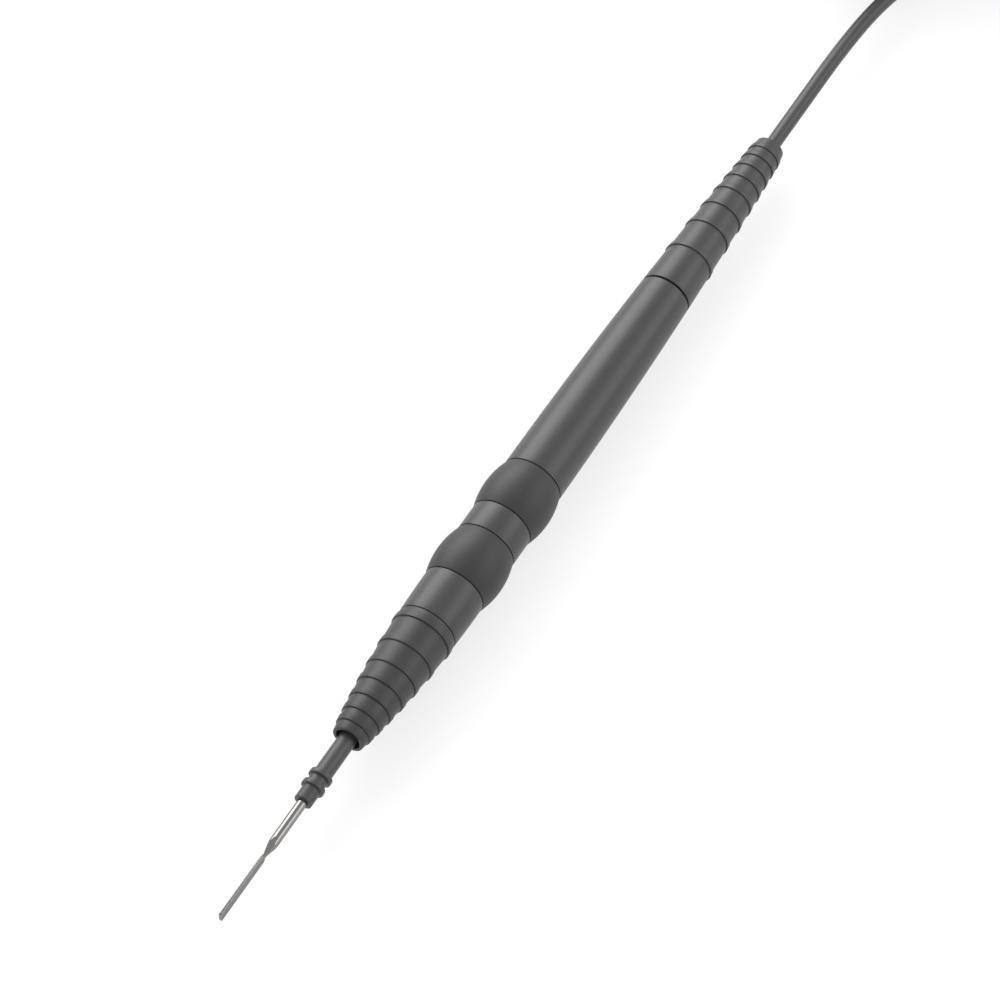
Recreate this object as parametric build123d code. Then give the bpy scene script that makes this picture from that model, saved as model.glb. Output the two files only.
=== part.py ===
from build123d import *
import math
import os

# Electrosurgical pencil: a slim handpiece with a push-in blade electrode at the front,
# two ring buttons that can be pressed from any side, a ribbed boot at each end, and a
# cord that ends in a three-pin plug. Millimetres, +Z up.
#
# The handpiece lies along X with the blade towards -X. It is drawn first with x measured
# from the blade's tip and its axis on y = z = 0, and is then set down so that the ring
# buttons touch z = 0 and x = 0 is halfway along it. The cord and plug are drawn in place.

# Blade electrode
shaft_d = 2.36
blade_length = 17.3
blade_width = 2.8
blade_thickness = 0.7
blade_corner = 0.55
blade_edge = 0.25
neck_length = 0.8
neck_width = 0.9
neck_thickness = 0.7
flare_length = 4.4
shaft_chamfer = 0.25

# Insulating sleeve on the shaft, with its two collars
sleeve_length = 26.8
sleeve_d = 4.1
sleeve_recess_d = 3.1
sleeve_recess_depth = 0.8
collar_d = 5.42
collar_length = 1.2
collar_offsets = (3.75, 6.75)

# Ribbed nose boot: where it starts, then the step to each rib and the rib's radius
nose_front = 52.0
nose_length = 33.6
nose_lip_r = 3.72
nose_mouth_r = 3.0
nose_mouth_depth = 5.0
nose_wall = 1.55
nose_rib_steps = (1.6, 3.3, 3.65, 4.25, 4.8, 5.75, 6.85)
nose_rib_radii = (4.37, 4.85, 5.36, 5.93, 6.42, 6.94, 7.38)
nose_rib_rise = 0.32
nose_rib_drop = 0.16
lip_round = 0.35

# Ribs of both boots
crest_length = 1.9
crest_follow = 0.65

# Rigid shells
shell_d = 14.74
front_housing_front_d = 14.44
front_housing_length = 11.6
ring_length = 13.4
ring_bulge_d = 17.11
collar_body_length = 7.2
rear_housing_length = 61.8
rear_housing_end_d = 12.5
shell_wall = 1.5
end_wall = 2.6
ring_seam = 0.2
boot_seam = 0.1
rear_seam = 0.3

# Core tube that carries the shells
core_d = 8.0
core_bore_d = 6.0
core_front_d = 7.9
core_length = 89.0
shell_fit = 0.03
fit = 0.05

# Ring buttons: the ring floats on a guide disc and moves by press_travel each way
press_travel = 0.4
contact_gap = 0.6
guide_gap = 0.5
guide_thickness = 1.8
guide_d = 12.0
key_width = 2.0
key_height = 0.8
key_fit = 0.03
key_outer_d = 11.7
shoulder_thickness = 1.6
press_sleeve_d = 12.6
press_sleeve_wall = 0.7
press_sleeve_inset = 0.6
band_length = 7.0
band_wall = 0.5
dome_d = 1.8
dome_height = 0.3
dome_count = 12
flex_thickness = 0.15
flex_strip_width = 3.0
flex_groove_depth = 0.5

# Electrode socket inside the nose
seal_length = 1.3
seal_gap = 0.3
carrier_gap = 0.1
carrier_length = 17.3
carrier_mouth_depth = 1.8
carrier_neck_length = 1.0
collet_length = 9.8
collet_d = 4.0
collet_fit = 0.02
collet_back = 1.1
collet_slit = 0.35
electrode_end_gap = 0.4
sleeve_end_gap = 0.5
washer_length = 1.3
washer_sheet = 0.25
stud_head = 3.0
stud_tail = 2.6
stud_tail_d = 1.2

# Nut, circuit board, wires and cord clamp in the rear housing
nut_length = 3.0
nut_across_flats = 9.6
board_width = 7.8
board_thickness = 1.0
board_seat = 5.2
chip_size = (4.4, 4.0, 1.2)
chip_count = 2
pad_size = (2.2, 0.9, 0.15)
wire_d = 0.9
wire_pitch = 1.1
wire_reach = 2.9
active_wire_drop = 1.05
active_wire_straight = 5.0
active_wire_slope = 8.0
active_wire_overlap = 2.0
clamp_length = 3.3
clamp_wall = 0.8

# Rear boot: the spigot that snaps into the rear housing, and the ribs
relief_length = 52.2
relief_end_r = 3.58
relief_round = 0.4
relief_rib_steps = (10.95, 8.9, 6.8, 5.65, 4.7, 4.2, 3.7, 3.2)
relief_rib_radii = (6.15, 5.74, 5.42, 5.10, 4.84, 4.59, 4.38, 4.16)
relief_rib_rise = 0.22
relief_rib_drop = 0.32
spigot_length = 10.5
spigot_d = 9.4
snap_length = 2.1
snap_d = 9.9
mouth_length = 8.0

# Cord
cord_d = 3.7
cord_strip_length = 15.5

# Coil of put-away cord: turns side by side, layer on layer
coil_centre = (218.3, 19.5)
coil_mean_d = 41.0
coil_columns = 4
coil_layers = 6

# Plug
plug_body_size = (24.0, 42.0, 12.0)
plug_corner = 3.0
plug_edge = 1.2
plug_boot_length = 12.0
plug_boot_d = 8.4
plug_boot_end_d = 5.6
plug_offset = (-17.0, -11.0)
pin_d = 4.0
pin_length = 17.0
pin_neck_d = 3.6
pin_neck_reach = 0.5
pin_places = (-15.875, -3.175, 15.875)
pin_shank_d = 3.0
pin_shank_length = 9.0
pin_flange_d = 5.2
pin_flange_length = 1.6
pin_flange_depth = 3.0

# Where the pieces follow one another, as distances from the blade's tip
nose_back = nose_front + nose_length
front_housing_front = nose_back + boot_seam
front_housing_back = front_housing_front + front_housing_length
front_ring_front = front_housing_back + ring_seam
front_ring_back = front_ring_front + ring_length
collar_front = front_ring_back + ring_seam
collar_back = collar_front + collar_body_length
rear_ring_front = collar_back + ring_seam
rear_ring_back = rear_ring_front + ring_length
rear_housing_front = rear_ring_back + ring_seam
rear_housing_back = rear_housing_front + rear_housing_length
relief_front = rear_housing_back + rear_seam
overall_length = relief_front + relief_length

shell_r = shell_d / 2
core_r = core_d / 2
core_front = nose_front + nose_mouth_depth
core_back = core_front + core_length
cord_r = cord_d / 2
axis_height = ring_bulge_d / 2

# The socket in the nose, and the electrode and sleeve that are pushed into it
carrier_front = core_front + seal_gap + seal_length + carrier_gap
carrier_back = carrier_front + carrier_length
collet_front = carrier_front + carrier_mouth_depth + carrier_neck_length + 2 * carrier_gap
collet_back_end = collet_front + collet_length
electrode_length = collet_back_end - collet_back - electrode_end_gap
sleeve_back = carrier_front + carrier_mouth_depth - sleeve_end_gap
sleeve_front = sleeve_back - sleeve_length
handpiece_place = Location((-overall_length / 2, 0, axis_height))

# Radii that follow from the float of the ring buttons
band_top_r = core_r + flex_thickness + shell_fit + band_wall
press_sleeve_r = press_sleeve_d / 2
press_bore_r = press_sleeve_r - press_sleeve_wall
dome_top_r = press_bore_r - contact_gap
guide_r = guide_d / 2
guide_bore_r = core_r + guide_gap
ring_guide_bore_r = guide_r + guide_gap
shoulder_bore_r = core_r + contact_gap + shell_fit


def turned(outline):
    """A solid of revolution about X from a closed outline of (x, radius) points."""
    return revolve(make_face(Polyline(*outline, close=True)), Axis.X)


def tube(start, end, inner_r, outer_r):
    """A plain turned tube or, with no inner radius, a rod."""
    return turned([(start, inner_r), (end, inner_r), (end, outer_r), (start, outer_r)])


def block(start, end, y_range, z_range):
    """A box between two places along X."""
    size = (end - start, y_range[1] - y_range[0], z_range[1] - z_range[0])
    middle = ((start + end) / 2, sum(y_range) / 2, sum(z_range) / 2)
    return Pos(*middle) * Box(*size)


def ribbed_outline(start, steps, radii, rise, drop, end_r, end):
    """The outside of a ribbed boot: each rib steps up, runs along its crest and drops."""
    points = []
    x = start
    for number, (step, crest_r) in enumerate(zip(steps, radii)):
        x += step
        if number + 1 < len(radii):
            slope = (radii[number + 1] - crest_r) / steps[number + 1]
        else:
            slope = (end_r + drop - crest_r) / (end - x)
        crest_back_r = crest_r + crest_follow * slope * crest_length
        points += [
            (x, crest_r - rise),
            (x, crest_r),
            (x + crest_length, crest_back_r),
            (x + crest_length, crest_back_r - drop),
        ]
    return points


def rounded_ends(solid, places, radius):
    """The solid with its circular edges at the given (x, radius) places rounded."""
    chosen = []
    for edge in solid.edges().filter_by(GeomType.CIRCLE):
        for x, r in places:
            near_x = abs(edge.arc_center.X - x) < 0.01
            if near_x and abs(edge.radius - r) < 0.01:
                chosen.append(edge)
    return fillet(chosen, radius)


# Electrode and sleeve


def make_blade_electrode():
    """A round shaft, flattened to a blade in front: one piece of steel."""
    half = blade_width / 2
    plate = block(0, blade_length, (-blade_thickness / 2, blade_thickness / 2), (-half, half))
    plate = fillet(plate.edges().filter_by(Axis.Y), blade_corner)
    plate = fillet(plate.edges().filter_by(Axis.X), blade_edge)
    neck_back = blade_length + neck_length
    neck = block(
        blade_length - blade_corner,
        neck_back,
        (-neck_thickness / 2, neck_thickness / 2),
        (-neck_width / 2, neck_width / 2),
    )
    flare_back = neck_back + flare_length
    flare = loft(
        [
            Plane((neck_back, 0, 0), x_dir=(0, 1, 0), z_dir=(1, 0, 0))
            * Rectangle(neck_thickness, neck_width),
            Plane((flare_back, 0, 0), x_dir=(0, 1, 0), z_dir=(1, 0, 0)) * Circle(shaft_d / 2),
        ]
    )
    shaft = turned(
        [
            (flare_back, 0),
            (electrode_length, 0),
            (electrode_length, shaft_d / 2 - shaft_chamfer),
            (electrode_length - shaft_chamfer, shaft_d / 2),
            (flare_back, shaft_d / 2),
        ]
    )
    return plate + neck + flare + shaft


def make_electrode_sleeve():
    """The moulded insulation, with a recessed mouth and two collars."""
    sleeve_r = sleeve_d / 2
    bore_r = shaft_d / 2 + collet_fit
    back = sleeve_back
    recess = sleeve_front + sleeve_recess_depth
    outline = [
        (back, bore_r),
        (recess, bore_r),
        (recess, sleeve_recess_d / 2),
        (sleeve_front, sleeve_recess_d / 2),
        (sleeve_front, sleeve_r),
    ]
    for offset in collar_offsets:
        front = sleeve_front + offset
        outline += [
            (front, sleeve_r),
            (front, collar_d / 2),
            (front + collar_length, collar_d / 2),
            (front + collar_length, sleeve_r),
        ]
    outline.append((back, sleeve_r))
    return turned(outline)


# Nose: boot, seal and electrode socket


def nose_inner_radius(x):
    """Radius of the conical core under the boot at a place along it."""
    share = (x - core_front) / (nose_back - core_front)
    core_nose_back_r = shell_r - nose_wall
    return core_front_d / 2 + share * (core_nose_back_r - core_front_d / 2)


def make_nose_boot():
    """The ribbed elastomer boot that is stretched over the core's cone."""
    end_r = front_housing_front_d / 2
    ribs = ribbed_outline(
        nose_front,
        nose_rib_steps,
        nose_rib_radii,
        nose_rib_rise,
        nose_rib_drop,
        end_r,
        nose_back,
    )
    outline = [
        (nose_front, nose_mouth_r),
        (nose_front, nose_lip_r),
        *ribs,
        (nose_back, end_r),
        (nose_back, nose_inner_radius(nose_back) + shell_fit),
        (core_front, nose_inner_radius(core_front) + shell_fit),
        (core_front, nose_mouth_r),
    ]
    return rounded_ends(turned(outline), [(nose_front, nose_lip_r)], lip_round)


def make_nose_seal():
    """A soft ring that closes the gap round the sleeve."""
    front = core_front + seal_gap
    return tube(front, front + seal_length, sleeve_d / 2 + fit, core_bore_d / 2 - fit)


def make_collet_carrier():
    """The insulating bush that holds the collet in the middle of the core."""
    outer_r = core_bore_d / 2 - shell_fit
    mouth_r = sleeve_d / 2 + 2 * fit
    neck_r = shaft_d / 2 + fit
    pocket_r = collet_d / 2 + fit
    mouth_back = carrier_front + carrier_mouth_depth
    neck_back = mouth_back + carrier_neck_length
    return turned(
        [
            (carrier_front, mouth_r),
            (mouth_back, mouth_r),
            (mouth_back, neck_r),
            (neck_back, neck_r),
            (neck_back, pocket_r),
            (carrier_back, pocket_r),
            (carrier_back, outer_r),
            (carrier_front, outer_r),
        ]
    )


def make_contact_collet():
    """The slit brass collet that grips the shaft and turns with it."""
    bore_r = shaft_d / 2 + collet_fit
    bore_back = collet_back_end - collet_back
    collet = turned(
        [
            (collet_front, bore_r + shaft_chamfer),
            (collet_front + shaft_chamfer, bore_r),
            (bore_back, bore_r),
            (bore_back, 0),
            (collet_back_end, 0),
            (collet_back_end, collet_d / 2),
            (collet_front, collet_d / 2),
        ]
    )
    half = collet_slit / 2
    slit_back = bore_back - collet_back
    for angle in (0, 90):
        slit = block(collet_front, slit_back, (-collet_d, collet_d), (-half, half))
        collet -= Rot(angle, 0, 0) * slit
    return collet


def make_contact_washer():
    """The dished spring washer between the collet and the stud."""
    front = collet_back_end + fit
    back = front + washer_length
    inner_r = collet_d / 4
    outer_r = collet_d / 2 - fit
    return turned(
        [
            (front, inner_r),
            (back - washer_sheet, outer_r),
            (back, outer_r),
            (front + washer_sheet, inner_r),
        ]
    )


def make_contact_stud():
    """The brass stud that closes the carrier and takes the active wire."""
    front = collet_back_end + washer_length + 2 * fit
    head_back = front + stud_head
    return turned(
        [
            (front, 0),
            (head_back + stud_tail, 0),
            (head_back + stud_tail, stud_tail_d / 2),
            (head_back, stud_tail_d / 2),
            (head_back, collet_d / 2 + fit / 2),
            (front, collet_d / 2 + fit / 2),
        ]
    )


# Core tube and the shells on it


def make_core_tube():
    """The tube that runs through the handpiece: a cone in front, a forked end behind."""
    bore_r = core_bore_d / 2
    core = turned(
        [
            (core_front, bore_r),
            (core_front, nose_inner_radius(core_front)),
            (nose_back, nose_inner_radius(nose_back)),
            (nose_back, core_r),
            (core_back, core_r),
            (core_back, bore_r),
        ]
    )
    slot_half = board_thickness / 2 + shell_fit
    fork_slot = block(
        core_back - board_seat - fit, core_back, (-core_d, core_d), (-slot_half, slot_half)
    )
    groove_half = flex_strip_width / 2 + fit
    strip_groove = block(
        flex_back() - 2 * flex_groove_depth,
        core_back,
        (-groove_half, groove_half),
        (core_r - flex_groove_depth, core_d),
    )
    return core - fork_slot - strip_groove


def guide_keys(face, direction):
    """Two keys on a fixed shell's face, along Y, that lead the guide disc."""
    tip = face + direction * key_height
    keys = tube(*sorted((face, tip)), guide_bore_r, key_outer_d / 2)
    half = key_width / 2
    return keys & block(*sorted((face, tip)), (-guide_d, guide_d), (-half, half))


def make_front_housing():
    """The front shell, cored out from the front where the boot covers it."""
    bore_r = core_r + shell_fit
    pocket_inner_r = nose_inner_radius(nose_back) - end_wall / 4
    pocket_outer_r = front_housing_front_d / 2 - shell_wall / 1.5
    pocket_inner_r = min(pocket_inner_r, pocket_outer_r - shell_wall / 2)
    pocket_back = front_housing_back - end_wall
    shell = turned(
        [
            (front_housing_front, bore_r),
            (front_housing_front, pocket_inner_r),
            (pocket_back, pocket_inner_r),
            (pocket_back, pocket_outer_r),
            (front_housing_front, pocket_outer_r),
            (front_housing_front, front_housing_front_d / 2),
            (front_housing_back, shell_r),
            (front_housing_back, bore_r),
        ]
    )
    return shell + guide_keys(front_housing_back, 1)


def make_middle_collar():
    """The plain collar between the two ring buttons."""
    return tube(collar_front, collar_back, core_r + flex_thickness + 3 * shell_fit, shell_r)


def rear_taper():
    """Drop of the rear housing's radius per square millimetre of length."""
    return (shell_r - rear_housing_end_d / 2) / rear_housing_length**2


def rear_radius(x):
    """Outside radius of the rear housing, a long gentle curve that starts level."""
    return shell_r - rear_taper() * (x - rear_housing_front) ** 2


def make_rear_housing():
    """The long rear shell: curved taper, thin wall, stepped mouth for the rear boot."""
    front, back = rear_housing_front, rear_housing_back
    cavity_front = front + end_wall
    step = back - mouth_length
    mouth_r = spigot_d / 2 + fit / 2
    middle = (front + back) / 2
    cavity_middle = (cavity_front + step) / 2
    outline = [
        ThreePointArc((front, shell_r), (middle, rear_radius(middle)), (back, rear_radius(back))),
        Polyline(
            (back, rear_radius(back)),
            (back, mouth_r),
            (step, mouth_r),
            (step, rear_radius(step) - shell_wall),
        ),
        ThreePointArc(
            (step, rear_radius(step) - shell_wall),
            (cavity_middle, rear_radius(cavity_middle) - shell_wall),
            (cavity_front, rear_radius(cavity_front) - shell_wall),
        ),
        Polyline(
            (cavity_front, rear_radius(cavity_front) - shell_wall),
            (cavity_front, core_r + shell_fit),
            (front, core_r + shell_fit),
            (front, shell_r),
        ),
    ]
    shell = revolve(make_face(outline), Axis.X)
    return shell + guide_keys(rear_housing_front, -1)


def make_core_nut():
    """The hexagonal nut that clamps the stack of shells on the core."""
    front = rear_housing_front + end_wall + fit
    hexagon = RegularPolygon(nut_across_flats / 2, 6, major_radius=False)
    plane = Plane((front, 0, 0), x_dir=(0, 1, 0), z_dir=(1, 0, 0))
    nut = extrude(plane * hexagon, nut_length)
    return nut - tube(front - 1, front + nut_length + 1, 0, core_r + shell_fit)


# Ring buttons: each is drawn from the fixed face beside its guide disc


def make_ring_button(face, direction):
    """The bulged ring, with the pocket for its disc, a keyed shoulder and a bore."""

    def at(distance):
        return face + direction * (ring_seam + distance)

    pocket_end = guide_thickness + ring_seam
    shoulder_end = pocket_end + shoulder_thickness
    bulge_r = ring_bulge_d / 2
    bore_r = press_sleeve_r + shell_fit
    outline = [
        ThreePointArc((at(0), shell_r), (at(ring_length / 2), bulge_r), (at(ring_length), shell_r)),
        Polyline(
            (at(ring_length), shell_r),
            (at(ring_length), bore_r),
            (at(shoulder_end), bore_r),
            (at(shoulder_end), shoulder_bore_r),
            (at(pocket_end), shoulder_bore_r),
            (at(pocket_end), ring_guide_bore_r),
            (at(0), ring_guide_bore_r),
            (at(0), shell_r),
        ),
    ]
    ring = revolve(make_face(outline), Axis.X)
    key_tip, key_root = sorted((at(pocket_end - key_height), at(pocket_end + shoulder_thickness / 2)))
    keys = tube(key_tip, key_root, shoulder_bore_r, ring_guide_bore_r + fit)
    half = key_width / 2
    keys &= block(key_tip, key_root, (-half, half), (-guide_d, guide_d))
    return ring + keys


def make_guide_disc(face, direction):
    """A floating disc: slots along Y on one face and along Z on the other."""

    def at(distance):
        return face + direction * (ring_seam + distance)

    disc = tube(*sorted((at(0), at(guide_thickness))), guide_bore_r, guide_r)
    half = key_width / 2 + key_fit
    near = sorted((at(0), at(key_height)))
    far = sorted((at(guide_thickness - key_height), at(guide_thickness)))
    disc -= block(*near, (-guide_d, guide_d), (-half, half))
    disc -= block(*far, (-half, half), (-guide_d, guide_d))
    return disc


def press_zone(face, direction):
    """The stretch of a ring's bore that is behind its shoulder."""
    front = guide_thickness + 2 * ring_seam + shoulder_thickness
    back = ring_seam + ring_length - press_sleeve_inset
    return sorted((face + direction * front, face + direction * back))


def make_press_sleeve(face, direction):
    """The hard sleeve in the ring that presses the domes."""
    start, end = press_zone(face, direction)
    return tube(start + fit, end, press_bore_r, press_sleeve_r)


def make_dome_band(face, direction):
    """The silicone band round the core, with a row of domes."""
    start, end = press_zone(face, direction)
    middle = (start + end) / 2
    inner_r = core_r + flex_thickness + 2 * shell_fit
    band = tube(middle - band_length / 2, middle + band_length / 2, inner_r, band_top_r)
    height = dome_top_r - inner_r
    for number in range(dome_count):
        dome = Pos(middle, 0, inner_r + height / 2) * Cylinder(dome_d / 2, height)
        dome = chamfer(dome.edges().sort_by(Axis.Z)[-1], dome_height / 2)
        band += Rot(360 / dome_count * number, 0, 0) * dome
    return band - tube(start, end, 0, inner_r)


front_face = (front_housing_back, 1)
rear_face = (rear_housing_front, -1)


# Electrical pieces


def flex_front():
    return press_zone(*front_face)[0] + fit


def flex_back():
    return press_zone(*rear_face)[1] - fit


def flex_end():
    """Where the strip's tail ends on the board."""
    return core_back + 2 * flex_strip_width


def make_contact_flex():
    """The printed strip: wrapped round the core under both bands, with a tail behind."""
    inner_r = core_r + shell_fit / 2
    wrap = tube(flex_front(), flex_back(), inner_r, inner_r + flex_thickness)
    half = flex_strip_width / 2
    strip_z = core_r - flex_groove_depth + fit
    board_z = board_thickness / 2 + fit
    step = flex_back()
    ramp = core_back + flex_strip_width
    end = flex_end()
    fold = block(step - flex_groove_depth, step, (-half, half), (strip_z, inner_r + flex_thickness))
    side = Polyline(
        (step - flex_groove_depth, strip_z),
        (core_back, strip_z),
        (ramp, board_z),
        (end, board_z),
        (end, board_z + flex_thickness),
        (ramp + flex_thickness / 2, board_z + flex_thickness),
        (core_back + flex_thickness / 2, strip_z + flex_thickness),
        (step - flex_groove_depth, strip_z + flex_thickness),
        close=True,
    )
    tail = extrude(Plane.XZ * make_face(side), half, both=True)
    return wrap + fold + tail


board_front = core_back - board_seat
board_back = relief_front - cord_strip_length - wire_reach


def make_circuit_board():
    """The board that sits in the core's forked end, with two chips and three pads."""
    top = board_thickness / 2
    board = block(board_front, board_back, (-board_width / 2, board_width / 2), (-top, top))
    length, width, height = chip_size
    free_front = flex_end()
    free_length = board_back - pad_size[0] - free_front
    for number in range(chip_count):
        middle = free_front + free_length * (number + 0.5) / chip_count
        chip_y = (-width / 2, width / 2)
        board += block(middle - length / 2, middle + length / 2, chip_y, (top, top + height))
    length, width, height = pad_size
    for number in (-1, 0, 1):
        y = number * wire_pitch
        pad_y = (y - width / 2, y + width / 2)
        board += block(board_back - length, board_back, pad_y, (top, top + height))
    return board


def make_active_wire():
    """The wire from the contact stud through the core to the board."""
    start = collet_back_end + washer_length + 2 * fit + stud_head + stud_tail
    bend = start + active_wire_straight
    low = -active_wire_drop
    path = FilletPolyline(
        (start, 0, 0),
        (bend, 0, 0),
        (bend + active_wire_slope, 0, low),
        (core_back + active_wire_overlap, 0, low),
        radius=active_wire_slope,
    )
    section = Plane(path @ 0, z_dir=path % 0) * Circle(wire_d / 2)
    return sweep(section, path)


def make_cord_wire(number):
    """One of the three wires from the board's pads into the cord."""
    z = board_thickness / 2 + pad_size[2] + wire_d / 2
    wire = tube(board_back - pad_size[0], cord_start(), 0, wire_d / 2)
    return Pos(0, number * wire_pitch, z) * wire


def cord_start():
    return relief_front - cord_strip_length


def make_cord_clamp():
    """The ring crimped on the cord, which takes its pull."""
    back = relief_front - spigot_length - fit
    return tube(back - clamp_length, back, cord_r + shell_fit, cord_r + clamp_wall)


def make_cord_in_boot():
    """The stretch of cord that the rear boot holds."""
    return tube(cord_start(), overall_length, 0, cord_r)


def make_strain_relief():
    """The ribbed rear boot with the spigot that snaps into the rear housing."""
    ribs = ribbed_outline(
        relief_front,
        relief_rib_steps,
        relief_rib_radii,
        relief_rib_rise,
        relief_rib_drop,
        relief_end_r,
        overall_length,
    )
    spigot_front = relief_front - spigot_length
    bore_r = cord_r + shell_fit
    outline = [
        (spigot_front, bore_r),
        (spigot_front, snap_d / 2),
        (spigot_front + snap_length, snap_d / 2),
        (spigot_front + snap_length, spigot_d / 2),
        (relief_front, spigot_d / 2),
        (relief_front, rear_housing_end_d / 2),
        *ribs,
        (overall_length, relief_end_r),
        (overall_length, bore_r),
    ]
    return rounded_ends(turned(outline), [(overall_length, relief_end_r)], relief_round)


# Cord, coil and plug, drawn in place

coil_bundle_width = coil_columns * cord_d
coil_height = coil_layers * cord_d
coil_inner_r = (coil_mean_d - coil_bundle_width) / 2
coil_outer_r = (coil_mean_d + coil_bundle_width) / 2
first_turn_r = coil_outer_r - cord_r
plug_height = coil_height + plug_body_size[2] / 2

# Route of the free cord from the rear boot to the coil's lowest outer turn
cord_route = [
    (overall_length / 2, 0.0, axis_height),
    (141.5, 0.0, axis_height),
    (161.0, 0.1, 8.1),
    (178.5, -0.6, 6.6),
    (192.5, -3.0, 4.5),
    (205.0, -5.9, 2.7),
    (coil_centre[0], coil_centre[1] - first_turn_r, cord_r),
]

# Route of the plug's lead, from where it leaves the coil's top to the plug's boot,
# measured from the coil's centre and its top
lead_route = [
    (16.0, 13.5, -0.3),
    (9.0, 20.6, 1.8),
    (-1.5, 24.2, 2.1),
    (-13.5, 23.6, 2.9),
    (-24.0, 18.6, 3.9),
    (-30.5, 9.8, 4.8),
    (-32.0, 0.0, 5.6),
    (-27.0, plug_offset[1], 6.0),
    (plug_offset[0], plug_offset[1], plug_body_size[2] / 2),
]


def corner_radii(points):
    """The largest even arc for each corner of a route, and the tightest of them."""
    radii = []
    places = [Vector(*point) for point in points]
    for before, corner, after in zip(places, places[1:], places[2:]):
        first, second = corner - before, after - corner
        half_turn = math.radians(first.get_angle(second)) / 2
        radii.append(0.45 * min(first.length, second.length) / math.tan(half_turn))
    return radii


def make_cord_tube(points, name):
    """A cord along straight runs joined by tangent arcs."""
    radii = corner_radii(points)
    path = FilletPolyline(*points, radius=radii)
    section = Plane(path @ 0, z_dir=path % 0) * Circle(cord_r)
    solid = sweep(section, path)
    expected = math.pi * cord_r**2 * path.length
    print(
        f"{name}: length {path.length:.1f} mm, tightest arc {min(radii):.1f} mm, "
        f"volume {solid.volume / expected:.4f} of its section times its length"
    )
    return solid


def make_cord_coil():
    """The outer shape of the wound cord: a ring with rounded edges."""
    ring = Cylinder(coil_outer_r, coil_height) - Cylinder(coil_inner_r, coil_height)
    ring = fillet(ring.edges().filter_by(GeomType.CIRCLE), cord_r * 0.9)
    return Pos(*coil_centre, coil_height / 2) * ring


def make_power_cord():
    """The free cord from the rear boot to the coil, cut where it joins the coil."""
    whole = make_cord_tube(cord_route, "power_cord")
    return (whole - make_cord_coil()).solids().sort_by(Axis.X)[0]


def make_plug_lead():
    """The cord from the top of the coil to the plug, cut where it leaves the coil."""
    x, y = coil_centre
    points = [(x + dx, y + dy, coil_height + dz) for dx, dy, dz in lead_route]
    whole = make_cord_tube(points, "plug_lead")
    return (whole - make_cord_coil()).solids().sort_by(SortBy.VOLUME)[-1]


def plug_place():
    x, y = coil_centre
    return Location((x + plug_offset[0], y + plug_offset[1], plug_height))


def pin_outline_tools():
    """The channel that each pin fills in the plug's two halves."""
    front = plug_boot_length + plug_body_size[0]
    flange = front - pin_flange_depth
    tools = []
    for y in pin_places:
        channel = tube(front - pin_shank_length, front, 0, pin_shank_d / 2 + shell_fit)
        channel += tube(
            flange - pin_flange_length - shell_fit, flange + shell_fit, 0, pin_flange_d / 2 + shell_fit
        )
        channel += tube(flange, front + pin_neck_reach, 0, pin_neck_d / 2 + shell_fit)
        tools.append(Pos(0, y, 0) * channel)
    return tools


def make_plug_half(side):
    """One half of the plug's body, split at the level of the pins."""
    length, width, height = plug_body_size
    body = Pos(plug_boot_length + length / 2, 0, 0) * Box(length, width, height)
    body = fillet(body.edges().filter_by(Axis.Z), plug_corner)
    body = chamfer(body.edges().group_by(Axis.Z)[0 if side < 0 else -1], plug_edge)
    z_range = (-height, -shell_fit / 2) if side < 0 else (shell_fit / 2, height)
    body &= block(0, 2 * length + plug_boot_length, (-width, width), z_range)
    for tool in pin_outline_tools():
        body -= tool
    body -= tube(plug_boot_length, plug_boot_length + plug_corner, 0, cord_r + shell_fit)
    return plug_place() * body


def make_plug_pin(y):
    """One turned pin: the contact in front, a flange and a shank held in the body."""
    front = plug_boot_length + plug_body_size[0]
    flange = front - pin_flange_depth
    tip = front + pin_length
    nose = pin_d / 4
    pin = turned(
        [
            (front - pin_shank_length, 0),
            (tip, 0),
            (tip, pin_d / 2 - nose),
            (tip - nose, pin_d / 2),
            (front + pin_neck_reach, pin_d / 2),
            (front + pin_neck_reach, pin_neck_d / 2),
            (flange, pin_neck_d / 2),
            (flange, pin_flange_d / 2),
            (flange - pin_flange_length, pin_flange_d / 2),
            (flange - pin_flange_length, pin_shank_d / 2),
            (front - pin_shank_length, pin_shank_d / 2),
        ]
    )
    return plug_place() * Pos(0, y, 0) * pin


def make_plug_boot():
    """The short tapered boot where the cord enters the plug."""
    boot = turned(
        [
            (0, 0),
            (0, plug_boot_end_d / 2),
            (plug_boot_length, plug_boot_d / 2),
            (plug_boot_length, 0),
        ]
    )
    return plug_place() * boot


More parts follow.
